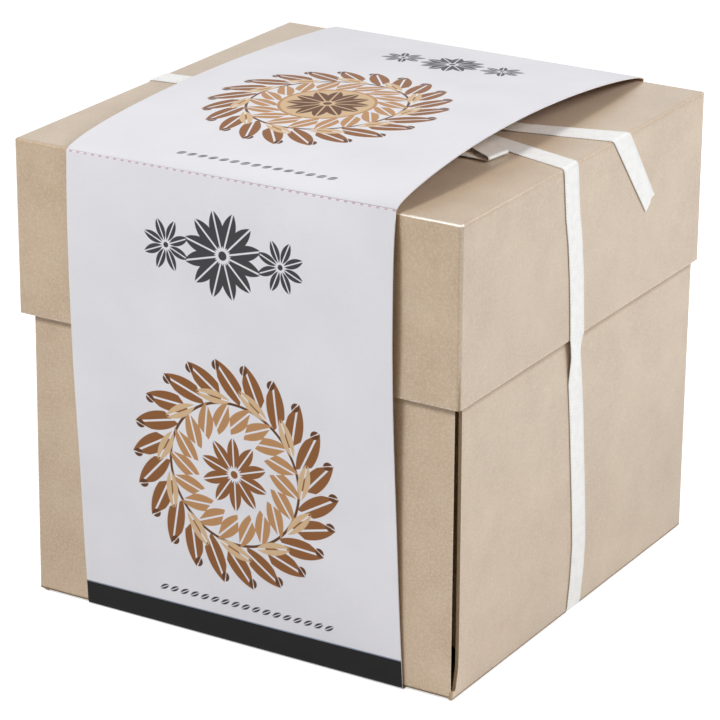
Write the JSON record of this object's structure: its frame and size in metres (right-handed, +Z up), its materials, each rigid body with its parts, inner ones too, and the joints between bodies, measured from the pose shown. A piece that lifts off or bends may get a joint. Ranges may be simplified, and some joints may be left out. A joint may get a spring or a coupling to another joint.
{
  "type": "explosion box",
  "caption": "Square lidded card gift box whose walls and petals fold open when the lid lifts, with a small inner box, card pockets, a paper sleeve and a ribbon.",
  "frame": {"origin": "on the surface under the middle of the closed lid, which is the bottom centre of the whole object", "axes": "+Z up through the lid; -Y is the front, where the sleeve carries its printed face; +X is the right side, where the loose ribbon tail hangs"},
  "size_m": [0.126, 0.129, 0.1274],
  "materials": {
    "kraft_board": "uncoated brown kraft board, smooth, with fine fibres",
    "kraft_card": "uncoated kraft card, a little darker",
    "printed_paper": "coated white paper, silk finish, printed",
    "satin_ribbon": "white double-faced satin, soft sheen"
  },
  "bodies": {
    "base": {"base_floor": "kraft_board", "inner_floor": "kraft_board", "gift_body": "kraft_board", "ribbon_under": "satin_ribbon"},
    "front_wall_panel": {"front_wall": "kraft_board"},
    "back_wall_panel": {"back_wall": "kraft_board"},
    "left_wall_panel": {"left_wall": "kraft_board", "ribbon_wall_left": "satin_ribbon"},
    "right_wall_panel": {"right_wall": "kraft_board", "ribbon_wall_right": "satin_ribbon"},
    "front_inner_panel": {"front_inner_wall": "kraft_board", "front_pocket": "kraft_card"},
    "back_inner_panel": {"back_inner_wall": "kraft_board", "back_pocket": "kraft_card"},
    "left_inner_panel": {"left_inner_wall": "kraft_board", "left_pocket": "kraft_card"},
    "right_inner_panel": {"right_inner_wall": "kraft_board", "right_pocket": "kraft_card"},
    "front_cards": {"front_card_1": "kraft_card", "front_card_2": "kraft_card", "front_card_3": "kraft_card"},
    "back_cards": {"back_card_1": "kraft_card", "back_card_2": "kraft_card", "back_card_3": "kraft_card"},
    "left_cards": {"left_card_1": "kraft_card", "left_card_2": "kraft_card", "left_card_3": "kraft_card"},
    "right_cards": {"right_card_1": "kraft_card", "right_card_2": "kraft_card", "right_card_3": "kraft_card"},
    "left_front_petal_flap": {"left_front_petal": "kraft_board"},
    "left_back_petal_flap": {"left_back_petal": "kraft_board"},
    "right_front_petal_flap": {"right_front_petal": "kraft_board"},
    "right_back_petal_flap": {"right_back_petal": "kraft_board"},
    "lid": {"lid_shell": "kraft_board", "ribbon_lid_left": "satin_ribbon", "ribbon_lid_right": "satin_ribbon", "ribbon_knot": "satin_ribbon", "ribbon_loop_front": "satin_ribbon", "ribbon_loop_back": "satin_ribbon", "ribbon_tail_right": "satin_ribbon", "ribbon_tail_hidden": "satin_ribbon"},
    "small_box_lid": {"gift_lid": "kraft_board"},
    "sleeve_top_panel": {"sleeve_top": "printed_paper"},
    "sleeve_front_panel": {"sleeve_front": "printed_paper"},
    "sleeve_back_panel": {"sleeve_back": "printed_paper"},
    "sleeve_bottom_panel": {"sleeve_bottom": "printed_paper"}
  },
  "joints": [
    {"name": "lid_lift", "type": "slide", "parent": "base", "child": "lid", "axis": [0, 0, 1], "range_m": [0, 0.5]},
    {"name": "front_wall_fold", "type": "hinge", "parent": "base", "child": "front_wall_panel", "pos_m": [0.00145, -0.06115, 0.00125], "axis": [1, 0, 0], "range_deg": [0, 90]},
    {"name": "back_wall_fold", "type": "hinge", "parent": "base", "child": "back_wall_panel", "pos_m": [0.00145, 0.06025, 0.00125], "axis": [-1, 0, 0], "range_deg": [0, 90]},
    {"name": "left_wall_fold", "type": "hinge", "parent": "base", "child": "left_wall_panel", "pos_m": [-0.05825, -0.00045, 0.00125], "axis": [0, -1, 0], "range_deg": [0, 90]},
    {"name": "right_wall_fold", "type": "hinge", "parent": "base", "child": "right_wall_panel", "pos_m": [0.06115, -0.00045, 0.00125], "axis": [0, 1, 0], "range_deg": [0, 90]},
    {"name": "front_inner_fold", "type": "hinge", "parent": "base", "child": "front_inner_panel", "pos_m": [0.00145, -0.0599, 0.00245], "axis": [1, 0, 0], "range_deg": [0, 90]},
    {"name": "back_inner_fold", "type": "hinge", "parent": "base", "child": "back_inner_panel", "pos_m": [0.00145, 0.059, 0.00245], "axis": [-1, 0, 0], "range_deg": [0, 90]},
    {"name": "left_inner_fold", "type": "hinge", "parent": "base", "child": "left_inner_panel", "pos_m": [-0.057, -0.00045, 0.00245], "axis": [0, -1, 0], "range_deg": [0, 90]},
    {"name": "right_inner_fold", "type": "hinge", "parent": "base", "child": "right_inner_panel", "pos_m": [0.0599, -0.00045, 0.00245], "axis": [0, 1, 0], "range_deg": [0, 90]},
    {"name": "left_front_petal_fold", "type": "hinge", "parent": "left_inner_panel", "child": "left_front_petal_flap", "pos_m": [-0.057, -0.05425, 0.00245], "axis": [0, 0, -1], "range_deg": [0, 90]},
    {"name": "left_back_petal_fold", "type": "hinge", "parent": "left_inner_panel", "child": "left_back_petal_flap", "pos_m": [-0.057, 0.05335, 0.00245], "axis": [0, 0, 1], "range_deg": [0, 90]},
    {"name": "right_front_petal_fold", "type": "hinge", "parent": "right_inner_panel", "child": "right_front_petal_flap", "pos_m": [0.0599, -0.05425, 0.00245], "axis": [0, 0, 1], "range_deg": [0, 90]},
    {"name": "right_back_petal_fold", "type": "hinge", "parent": "right_inner_panel", "child": "right_back_petal_flap", "pos_m": [0.0599, 0.05335, 0.00245], "axis": [0, 0, -1], "range_deg": [0, 90]},
    {"name": "front_cards_slide", "type": "slide", "parent": "front_inner_panel", "child": "front_cards", "axis": [0, 0, 1], "range_m": [0, 0.02]},
    {"name": "back_cards_slide", "type": "slide", "parent": "back_inner_panel", "child": "back_cards", "axis": [0, 0, 1], "range_m": [0, 0.02]},
    {"name": "left_cards_slide", "type": "slide", "parent": "left_inner_panel", "child": "left_cards", "axis": [0, 0, 1], "range_m": [0, 0.02]},
    {"name": "right_cards_slide", "type": "slide", "parent": "right_inner_panel", "child": "right_cards", "axis": [0, 0, 1], "range_m": [0, 0.02]},
    {"name": "small_box_lid_lift", "type": "slide", "parent": "base", "child": "small_box_lid", "axis": [0, 0, 1], "range_m": [0, 0.03]},
    {"name": "sleeve_slide", "type": "slide", "parent": "lid", "child": "sleeve_top_panel", "axis": [1, 0, 0], "range_m": [0, 0.12]},
    {"name": "sleeve_front_slide", "type": "slide", "parent": "front_wall_panel", "child": "sleeve_front_panel", "axis": [1, 0, 0], "range_m": [0, 0.12]},
    {"name": "sleeve_back_slide", "type": "slide", "parent": "back_wall_panel", "child": "sleeve_back_panel", "axis": [1, 0, 0], "range_m": [0, 0.12]},
    {"name": "sleeve_bottom_slide", "type": "slide", "parent": "base", "child": "sleeve_bottom_panel", "axis": [1, 0, 0], "range_m": [0, 0.12]}
  ],
  "couplings": [
    {"joint": "front_wall_fold", "follows": "lid_lift", "rad_per_m": 3.1416},
    {"joint": "back_wall_fold", "follows": "lid_lift", "rad_per_m": 3.1416},
    {"joint": "left_wall_fold", "follows": "lid_lift", "rad_per_m": 3.1416},
    {"joint": "right_wall_fold", "follows": "lid_lift", "rad_per_m": 3.1416},
    {"joint": "front_inner_fold", "follows": "lid_lift", "rad_per_m": 3.1416},
    {"joint": "back_inner_fold", "follows": "lid_lift", "rad_per_m": 3.1416},
    {"joint": "left_inner_fold", "follows": "lid_lift", "rad_per_m": 3.1416},
    {"joint": "right_inner_fold", "follows": "lid_lift", "rad_per_m": 3.1416},
    {"joint": "left_front_petal_fold", "follows": "lid_lift", "rad_per_m": 3.1416},
    {"joint": "left_back_petal_fold", "follows": "lid_lift", "rad_per_m": 3.1416},
    {"joint": "right_front_petal_fold", "follows": "lid_lift", "rad_per_m": 3.1416},
    {"joint": "right_back_petal_fold", "follows": "lid_lift", "rad_per_m": 3.1416},
    {"joint": "sleeve_front_slide", "follows": "sleeve_slide", "ratio": 1},
    {"joint": "sleeve_back_slide", "follows": "sleeve_slide", "ratio": 1},
    {"joint": "sleeve_bottom_slide", "follows": "sleeve_slide", "ratio": 1}
  ]
}
